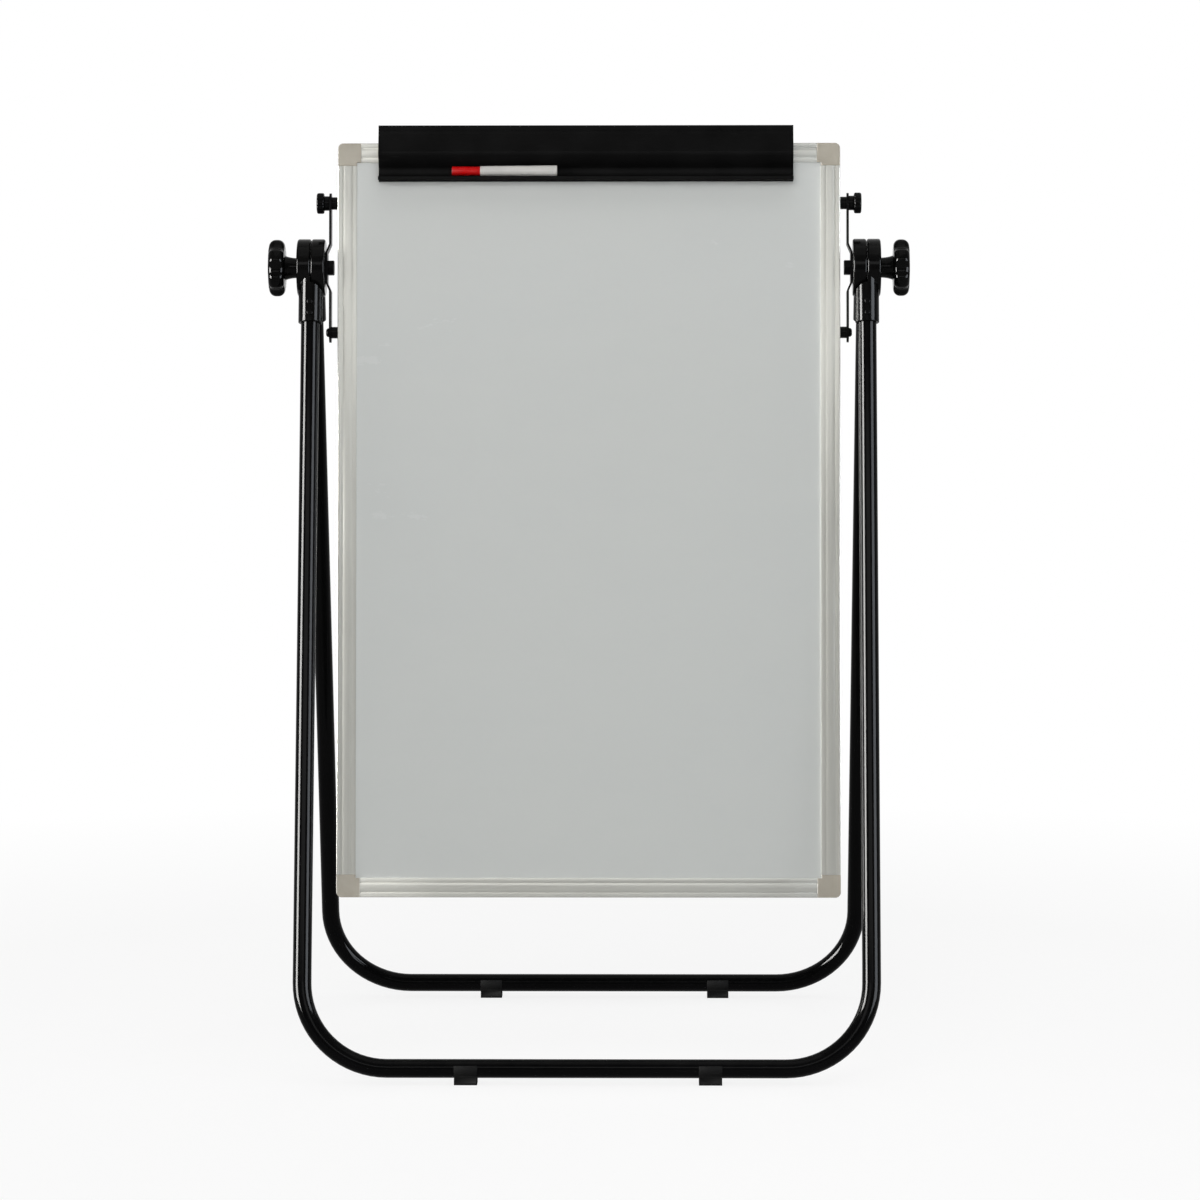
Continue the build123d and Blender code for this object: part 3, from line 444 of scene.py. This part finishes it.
def mouldedPlastic(name, look):
    # coloured plastic with an uneven tone and gloss, scuffs and a fine grain
    material, tree, shader, place = startMaterial(name, Specular_IOR_Level=look["specular"])
    tone = spreadNoise(tree, noise(tree, place, look["toneScale"], look["toneDetail"]))
    gloss = spreadNoise(tree, noise(tree, place, look["glossScale"]), *look["roughness"])
    rubbed = useGroup(tree, scuffGroup, Color=mixColour(tree, tone, look["dark"], look["light"]),
                      Rubbed=look["rubbed"], Amount=look["scuffs"], Roughness=gloss, Scale=look["scuffScale"])
    tree.links.new(rubbed.outputs["Color"], shader.inputs["Base Color"])
    tree.links.new(rubbed.outputs["Roughness"], shader.inputs["Roughness"])
    addBump(tree, shader, noise(tree, place, look["bumpScale"], 2.0), look["bumpStrength"], look["bumpDepth"])
    return material


cornerPlastic = mouldedPlastic("cornerPlastic", cornerPlasticLook)
writingLacquer = writingLacquerMaterial(writingLacquerLook)
coreFibre = fibreMaterial("coreFibre", coreFibreLook)
inkFelt = fibreMaterial("inkFelt", inkFeltLook)
markerRed = mouldedPlastic("markerRed", markerRedLook)
markerWhite = mouldedPlastic("markerWhite", markerWhiteLook)
print("materials made:", len(bpy.data.materials))


# Every CAD node gets its finish, also those that a finer piece replaces below

nodeFinish = {
    tubePaint: ["front_leg_tube", "rear_leg_tube"],
    hubPlastic: ["front_socket_left", "front_socket_right", "rear_socket_left", "rear_socket_right",
                 "upper_spacers", "lower_spacers"],
    knobPlastic: ["clamp_knob_left", "clamp_knob_right", "thumb_knob_left", "thumb_knob_right"],
    strapPaint: ["strap_left", "strap_right", "pivot_bolt_left", "pivot_bolt_right", "lower_strap_screws",
                 "front_socket_screws", "rear_socket_screws"],
    footRubber: ["front_foot_left", "front_foot_right", "rear_foot_left", "rear_foot_right"],
    platedSteel: ["rail_nuts", "thumb_stud_left", "thumb_stud_right", "corner_screws", "clip_bracket_screws",
                  "clip_hinge_pins", "clip_springs", "clip_bracket_left", "clip_bracket_right"],
    insertBrass: ["clamp_insert_left", "clamp_insert_right"],
    railAcross: ["rail_top", "rail_bottom"],
    railUpright: ["rail_left", "rail_right"],
    cornerPlastic: ["corner_cap_top_left", "corner_cap_top_right", "corner_cap_bottom_left",
                    "corner_cap_bottom_right"],
    writingLacquer: ["front_writing_sheet", "rear_writing_sheet"],
    coreFibre: ["board_core"],
    clipFinish: ["clip_bar"],
    gripRubber: ["clip_grip_strip"],
    markerWhite: ["marker_barrel", "marker_end_plug"],
    markerRed: ["marker_cap"],
    inkFelt: ["marker_nib", "marker_reservoir"],
}
for material, names in nodeFinish.items():
    for nodeName in names:
        nodes[nodeName].data.materials.clear()
        nodes[nodeName].data.materials.append(material)
print("CAD nodes dressed")


# Pieces modelled for their looks

def insetFaces(thickness, depth=0.0):
    bpy.ops.mesh.inset(thickness=thickness, depth=depth, use_even_offset=True)


footLook = {"edge": 0.5 * mm, "segments": 2, "bevelAngle": 50, "smoothAngle": 40, "margin": 1.4 * mm,
            "depth": 0.5 * mm, "top": 12 * mm}


def makeFoot(node, body, look):
    # softened edges and a sunken panel in the front and back of the pad
    obj = cadCopy(node, node + "Shown")
    selectFaces(obj, lambda centre, normal: abs(normal.y) > 0.999 and centre.z < look["top"])
    insetFaces(look["margin"])
    insetFaces(look["depth"], -look["depth"])
    leaveEdit()
    softenEdges(obj, look["edge"], look["segments"], look["bevelAngle"])
    shadeSmooth(obj, look["smoothAngle"])
    wearPiece(obj, footRubber, body, "foot_rubber", node)


for stand in ("front", "rear"):
    for side in ("left", "right"):
        makeFoot(f"{stand}_foot_{side}", f"{stand}_stand", footLook)
print("feet modelled")


railShape = {"edge": 0.34 * mm, "segments": 3, "bevelAngle": 30, "smoothAngle": 30}


def makeRail(side, material, look):
    # the extrusion's sharp edges and the rims of its grooves are rounded as they leave the die
    node = "rail_" + side
    obj = cadCopy(node, node + "Shown")
    softenEdges(obj, look["edge"], look["segments"], look["bevelAngle"])
    shadeSmooth(obj, look["smoothAngle"])
    wearPiece(obj, material, "board", "rail_aluminium", node)


for side, material in (("top", railAcross), ("bottom", railAcross), ("left", railUpright),
                       ("right", railUpright)):
    makeRail(side, material, railShape)
print("rails modelled")


ringSmoothAngle = 35


def ringPiece(name, rings, node, dent=None, closed=False, segments=96):
    # rings round the node's own axis along X, each with its place outwards from the node's inner end,
    # its radius and its share of the dents
    low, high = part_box(node)
    outwards = -1 if high[0] < 0 and dent else 1
    inner = high[0] if outwards < 0 else low[0]
    centreY, centreZ = (low[1] + high[1]) / 2, (low[2] + high[2]) / 2
    points = []
    for place, radius, share in rings:
        for step in range(segments):
            turn = 2 * math.pi * step / segments
            reach = radius - (share * dent(turn) if dent else 0.0)
            points.append((inner + outwards * place, centreY + reach * math.sin(turn),
                           centreZ + reach * math.cos(turn)))
    pairs = [(ring, ring + 1) for ring in range(len(rings) - 1)]
    if closed:
        pairs.append((len(rings) - 1, 0))
    faces = []
    for first, second in pairs:
        for step in range(segments):
            after = (step + 1) % segments
            faces.append((first * segments + step, first * segments + after,
                          second * segments + after, second * segments + step))
    mesh = bpy.data.meshes.new(name)
    mesh.from_pydata(points, [], faces)
    obj = bpy.data.objects.new(name, mesh)
    bpy.context.scene.collection.objects.link(obj)
    recalcOutside(obj)
    shadeSmooth(obj, ringSmoothAngle)
    return obj


def roundedRim(start, end, radius, rounding, steps=8):
    # both rounded edges of a wheel's rim, as rings
    quarter = [math.pi / 2 * step / steps for step in range(steps + 1)]
    inner = [(start + rounding * (1 - math.sin(a)), radius - rounding * (1 - math.cos(a)), math.cos(a) ** 0.5)
             for a in reversed(quarter)]
    outer = [(end - rounding * (1 - math.sin(a)), radius - rounding * (1 - math.cos(a)), math.cos(a) ** 0.5)
             for a in quarter]
    return inner + outer


clampKnobLook = {"lobes": 6, "radius": 33.8 * mm, "valley": 13.0 * mm, "valleyAt": 41.6 * mm, "soften": 4.5,
                 "neck": 12.0 * mm, "neckChamfer": 0.5 * mm, "flare": 14.5 * mm, "flarePower": 2.2,
                 "flareSteps": 8, "flareGap": 0.6 * mm, "collar": 1.6 * mm, "neckEnd": 15.2 * mm,
                 "end": 34.0 * mm, "rim": 8.0 * mm, "bore": 5.2 * mm, "boreEnd": 31.0 * mm, "insert": 7.0 * mm,
                 "insertFrom": 2.0 * mm, "insertTo": 24.0 * mm, "faceLip": 2.5 * mm, "dishFrom": 4.0 * mm,
                 "dishTo": 7.0 * mm, "dish": 0.9 * mm, "boss": 9.0 * mm, "bossSlope": 1.0 * mm, "segments": 144}


def lobeDent(look):
    # how far the outline lies inside the full circle, with the lobes' corners softened
    spacing = 2 * math.pi / look["lobes"]

    def sharp(turn):
        off = (turn + spacing / 2) % spacing - spacing / 2
        off = abs(off) - spacing / 2 if abs(off) > spacing / 4 else 9.0
        across = look["valley"] ** 2 - (look["valleyAt"] * math.sin(off)) ** 2
        if off > 1.0 or across <= 0:
            return 0.0
        return max(0.0, look["radius"] - look["valleyAt"] * math.cos(off) + math.sqrt(across))

    def dent(turn):
        window = [math.radians(look["soften"]) * step / 4 for step in range(-4, 5)]
        return sum(sharp(turn + shift) for shift in window) / len(window)

    return dent


def makeClampKnob(side, look):
    # a flared neck runs into a fat lobed wheel with a dished face and a small boss
    node = "clamp_knob_" + side
    neck, neckEnd, end, rim = look["neck"], look["neckEnd"], look["end"], look["rim"]
    bore, dish, boss, steps = look["bore"], look["dish"], look["boss"], look["flareSteps"]
    rings = [(look["boreEnd"], 0.0, 0.0), (look["boreEnd"], bore, 0.0), (look["insertTo"], bore, 0.0),
             (look["insertTo"], look["insert"], 0.0), (look["insertFrom"], look["insert"], 0.0),
             (look["insertFrom"], bore, 0.0), (0.0, bore, 0.0), (0.0, neck - look["neckChamfer"], 0.0),
             (look["neckChamfer"], neck, 0.0)]
    for step in range(1, steps + 1):
        share = step / steps
        flare = (look["flare"] - neck) * share ** look["flarePower"]
        rings.append((share * (neckEnd - look["flareGap"]), neck + flare, 0.0))
    rings.append((neckEnd, look["flare"] + look["collar"], 0.0))
    rings += roundedRim(neckEnd, end, look["radius"], rim)
    face = look["radius"] - rim
    rings += [(end, face - look["faceLip"], 0.0), (end - dish * 0.4, face - look["dishFrom"], 0.0),
              (end - dish, face - look["dishTo"], 0.0), (end - dish, boss + look["bossSlope"], 0.0),
              (end - dish * 0.3, boss, 0.0), (end - dish * 0.2, 0.0, 0.0)]
    obj = ringPiece(node + "Shown", rings, node, lobeDent(look), segments=look["segments"])
    wearPiece(obj, knobPlastic, node, "hub_plastic", node)


thumbKnobLook = {"grooves": 14, "depth": 0.7 * mm, "halfWidth": 6.5, "radius": 12.5 * mm, "rim": 2.2 * mm,
                 "rimSteps": 6, "neck": 8.7 * mm, "neckChamfer": 0.4 * mm, "collarFrom": 0.8 * mm,
                 "collarTo": 0.1 * mm, "collar": 0.6 * mm, "neckEnd": 6.2 * mm, "end": 15.1 * mm,
                 "bore": 3.0 * mm, "boreEnd": 12.1 * mm, "faceLip": 1.2 * mm, "dishFrom": 1.9 * mm,
                 "dish": 0.5 * mm, "boss": 3.4 * mm, "bossTop": 2.8 * mm, "bossDepth": 0.15 * mm,
                 "middleDepth": 0.1 * mm, "segments": 168}


def makeThumbKnob(side, look):
    # a turned neck and a head with grooves for the fingers
    node = "thumb_knob_" + side
    spacing = 2 * math.pi / look["grooves"]

    def dent(turn):
        off = (turn + spacing / 2) % spacing - spacing / 2
        return look["depth"] * max(0.0, 1 - (off / math.radians(look["halfWidth"])) ** 2)

    neck, neckEnd, end, bore = look["neck"], look["neckEnd"], look["end"], look["bore"]
    rings = [(look["boreEnd"], 0.0, 0.0), (look["boreEnd"], bore, 0.0), (0.0, bore, 0.0),
             (0.0, neck - look["neckChamfer"], 0.0), (look["neckChamfer"], neck, 0.0),
             (neckEnd - look["collarFrom"], neck, 0.0),
             (neckEnd - look["collarTo"], neck + look["collar"], 0.0)]
    rings += roundedRim(neckEnd, end, look["radius"], look["rim"], look["rimSteps"])
    face = look["radius"] - look["rim"]
    rings += [(end, face - look["faceLip"], 0.0), (end - look["dish"], face - look["dishFrom"], 0.0),
              (end - look["dish"], look["boss"], 0.0), (end - look["bossDepth"], look["bossTop"], 0.0),
              (end - look["middleDepth"], 0.0, 0.0)]
    obj = ringPiece(node + "Shown", rings, node, dent, segments=look["segments"])
    wearPiece(obj, knobPlastic, node, "hub_plastic", node)


for side in ("left", "right"):
    makeClampKnob(side, clampKnobLook)
    makeThumbKnob(side, thumbKnobLook)
print("knobs modelled")


def ringGroove(place, radius, width, depth):
    # four points of a small groove in a turned profile
    return [(place, radius), (place + width * 0.25, radius - depth),
            (place + width * 0.75, radius - depth), (place + width, radius)]


markerCapLook = {"radius": 5.4 * mm, "length": 33.7 * mm, "bore": 4.1 * mm, "end": 2.4 * mm, "dimple": 2.6 * mm,
                 "dimpleDepth": 0.5 * mm, "dimpleEdge": 0.4 * mm, "crown": 1.2 * mm, "crownPlace": 0.35 * mm,
                 "crownDrop": 0.45 * mm, "grip": 6, "gripFrom": 22.0 * mm, "gripStep": 1.5 * mm,
                 "gripWidth": 0.9 * mm, "gripDepth": 0.22 * mm, "lip": 0.25 * mm}


def makeMarkerCap(look):
    radius, length = look["radius"], look["length"]
    profile = [(look["dimpleDepth"], 0.0), (look["dimpleDepth"], look["dimple"]),
               (0.0, look["dimple"] + look["dimpleEdge"]), (0.0, radius - look["crown"]),
               (look["crownPlace"], radius - look["crownDrop"]), (look["crown"], radius)]
    for ring in range(look["grip"]):
        profile += ringGroove(look["gripFrom"] + ring * look["gripStep"], radius, look["gripWidth"],
                              look["gripDepth"])
    profile += [(length - look["lip"], radius), (length, radius - look["lip"]), (length, look["bore"]),
                (look["end"], look["bore"]), (look["end"], 0.0)]
    obj = ringPiece("markerCapShown", [(x, r, 0.0) for x, r in profile], "marker_cap")
    wearPiece(obj, markerRed, "marker_cap", "marker_red", "marker_cap")


markerBarrelLook = {"tip": 14.0 * mm, "tipRadius": 4.0 * mm, "tipChamfer": 0.3 * mm, "nib": 2.2 * mm,
                    "shoulder": 5.9 * mm, "shoulderRound": 0.6 * mm, "shoulderStart": 0.2 * mm, "end": 6.6 * mm,
                    "length": 104.5 * mm, "bore": 4.7 * mm, "wall": 3.0 * mm, "frontGroove": 4.0 * mm,
                    "backGrooves": (7.0 * mm, 5.4 * mm), "grooveWidth": 0.7 * mm, "grooveDepth": 0.2 * mm}


def makeMarkerBarrel(look):
    tip, length = look["tip"], look["length"]

    def outside(place):
        # the barrel's radius widens evenly from the cap to its end
        return look["shoulder"] + (look["end"] - look["shoulder"]) * (place - tip) / (length - tip)

    shoulder, rounding, start = look["shoulder"], look["shoulderRound"], look["shoulderStart"]
    profile = [(tip + look["wall"], look["nib"]), (0.0, look["nib"]),
               (0.0, look["tipRadius"] - look["tipChamfer"]), (look["tipChamfer"], look["tipRadius"]),
               (tip, look["tipRadius"]), (tip, shoulder - rounding), (tip + start, shoulder - start),
               (tip + rounding, outside(tip + rounding))]
    for place in (tip + look["frontGroove"], *(length - back for back in look["backGrooves"])):
        profile += ringGroove(place, outside(place), look["grooveWidth"], look["grooveDepth"])
    profile += [(length, look["end"]), (length, look["bore"]), (tip + look["wall"], look["bore"])]
    obj = ringPiece("markerBarrelShown", [(x, r, 0.0) for x, r in profile], "marker_barrel", closed=True)
    wearPiece(obj, markerWhite, "marker", "marker_white", "marker_barrel")


makeMarkerCap(markerCapLook)
makeMarkerBarrel(markerBarrelLook)
print("marker modelled")


# Camera at the photograph's viewpoint

cameraView = {"x": 0.0973, "distance": 6.0, "height": 1.1717, "yaw": -0.0141, "pitch": 0.1056, "roll": -0.0014,
              "focalPixels": 5012.0, "imagePixels": 1200.0, "sensor": 36.0, "clipEnd": 60.0}


def makeCamera(look):
    data = bpy.data.cameras.new("photoCamera")
    data.sensor_width = look["sensor"]
    data.lens = look["focalPixels"] / look["imagePixels"] * look["sensor"]
    data.clip_end = look["clipEnd"]
    camera = bpy.data.objects.new("photoCamera", data)
    bpy.context.scene.collection.objects.link(camera)
    yaw, pitch, roll = look["yaw"], look["pitch"], look["roll"]
    ahead = Vector((math.sin(yaw) * math.cos(pitch), math.cos(yaw) * math.cos(pitch), -math.sin(pitch)))
    right = Vector((math.cos(yaw), -math.sin(yaw), 0))
    up = right.cross(ahead)
    side = right * math.cos(roll) + up * math.sin(roll)
    top = up * math.cos(roll) - right * math.sin(roll)
    turn = Matrix((side, top, -ahead)).transposed().to_4x4()
    camera.matrix_world = Matrix.Translation((look["x"], -look["distance"], look["height"])) @ turn
    bpy.context.scene.camera = camera


# Floor and studio light

stageLook = {"half": 12.0, "paper": 0.9, "glow": 0.82, "whiteFrom": 1.0, "whiteTo": 2.0, "grainScale": 3.0,
             "grain": 0.01, "roughness": 0.95}


def makeStage(look):
    bpy.ops.mesh.primitive_plane_add(size=look["half"] * 2, location=(0, 0, 0))
    floor = bpy.context.object
    floor.name = "studioFloor"
    material = bpy.data.materials.new("studioPaper")
    material.use_nodes = True
    tree = material.node_tree
    shader = next(n for n in tree.nodes if n.type == "BSDF_PRINCIPLED")
    place = addNode(tree, "ShaderNodeTexCoord").outputs["Object"]
    grain = spreadNoise(tree, noise(tree, place, look["grainScale"]), look["paper"] - look["grain"],
                        look["paper"] + look["grain"])
    tree.links.new(grain, shader.inputs["Base Color"])
    shader.inputs["Roughness"].default_value = look["roughness"]
    shader.inputs["Specular IOR Level"].default_value = 0.0
    light = addNode(tree, "ShaderNodeLightPath")
    seen = mathNode(tree, "MAXIMUM", light.outputs["Is Camera Ray"],
                    mathNode(tree, "MAXIMUM", light.outputs["Is Glossy Ray"], light.outputs["Is Transmission Ray"]))
    white = addNode(tree, "ShaderNodeEmission")
    white.inputs["Strength"].default_value = 1.0
    mix = addNode(tree, "ShaderNodeMixShader")
    # full white far from the easel, while the floor below it keeps its shadow
    away = addNode(tree, "ShaderNodeVectorMath", operation="LENGTH")
    tree.links.new(place, away.inputs[0])
    glow = mapRange(tree, away.outputs["Value"], look["whiteFrom"], look["whiteTo"], look["glow"], 1.0)
    tree.links.new(mathNode(tree, "MULTIPLY", seen, glow), mix.inputs[0])
    tree.links.new(shader.outputs[0], mix.inputs[1])
    tree.links.new(white.outputs[0], mix.inputs[2])
    output = next(n for n in tree.nodes if n.type == "OUTPUT_MATERIAL")
    tree.links.new(mix.outputs[0], output.inputs["Surface"])
    floor.data.materials.append(material)


# the boxes light the easel unseen, and the cards only show in its glossy surfaces
studioLights = {
    "keyBox": {"place": (-1.2, -4.6, 2.4), "size": (3.0, 2.2), "watts": 92.0, "tint": (1.0, 0.985, 0.96)},
    "fillBox": {"place": (2.6, -4.2, 1.6), "size": (2.2, 2.2), "watts": 42.0, "tint": (0.93, 0.96, 1.0)},
    "topBox": {"place": (0.3, -0.8, 4.2), "size": (3.2, 2.6), "watts": 30.0, "tint": (1.0, 1.0, 1.0)},
    "backBox": {"place": (1.8, 4.6, 2.6), "size": (2.4, 2.0), "watts": 50.0, "tint": (1.0, 1.0, 1.0)},
    "highCard": {"place": (-0.6, -9.0, 4.5), "size": (8.0, 1.7), "watts": 205.0, "tint": (1.0, 1.0, 1.0)},
    "leftCard": {"place": (-4.6, -2.1, 1.3), "size": (2.0, 3.6), "watts": 4600.0, "tint": (1.0, 0.99, 0.97)},
    "rightCard": {"place": (4.0, -2.4, 1.3), "size": (2.6, 3.6), "watts": 1050.0, "tint": (0.88, 0.93, 1.0)},
}


lightTarget = (0, 0, 0.7)


def makeLights(lights, target):
    for name, look in lights.items():
        data = bpy.data.lights.new(name, "AREA")
        data.shape = "RECTANGLE"
        data.size, data.size_y = look["size"]
        data.energy = look["watts"]
        data.color = look["tint"]
        lamp = bpy.data.objects.new(name, data)
        lamp.location = look["place"]
        aim = Vector(target) - Vector(look["place"])
        if "Card" in name:
            lamp.visible_diffuse = False
        if name in ("leftCard", "rightCard"):
            aim.z = 0
        if name in ("keyBox", "fillBox", "backBox"):
            lamp.visible_glossy = False
        lamp.rotation_euler = aim.to_track_quat("-Z", "Y").to_euler()
        bpy.context.scene.collection.objects.link(lamp)


worldLook = {"dimSide": 0.1, "dimAt": -0.5, "brightAt": 0.3, "diffuse": 0.42}


def makeWorld(look):
    world = bpy.data.worlds.new("studioWorld")
    bpy.context.scene.world = world
    world.use_nodes = True
    tree = world.node_tree
    background = next(n for n in tree.nodes if n.type == "BACKGROUND")
    background.inputs["Color"].default_value = (1, 1, 1, 1)
    light = addNode(tree, "ShaderNodeLightPath")
    # a white room behind the easel, a dim one behind the camera
    direction = addNode(tree, "ShaderNodeSeparateXYZ")
    tree.links.new(addNode(tree, "ShaderNodeTexCoord").outputs["Generated"], direction.inputs[0])
    room = mapRange(tree, direction.outputs["Y"], look["dimAt"], look["brightAt"], look["dimSide"], 1.0)
    gloss = mathNode(tree, "MULTIPLY", room, mathNode(
        tree, "MAXIMUM", light.outputs["Is Glossy Ray"], light.outputs["Is Transmission Ray"]))
    seen = mathNode(tree, "MAXIMUM", light.outputs["Is Camera Ray"], gloss)
    tree.links.new(mathNode(tree, "MAXIMUM", seen, look["diffuse"]), background.inputs["Strength"])


makeCamera(cameraView)
makeStage(stageLook)
makeLights(studioLights, lightTarget)
makeWorld(worldLook)
bpy.context.scene.view_settings.view_transform = "Standard"
print("studio ready")
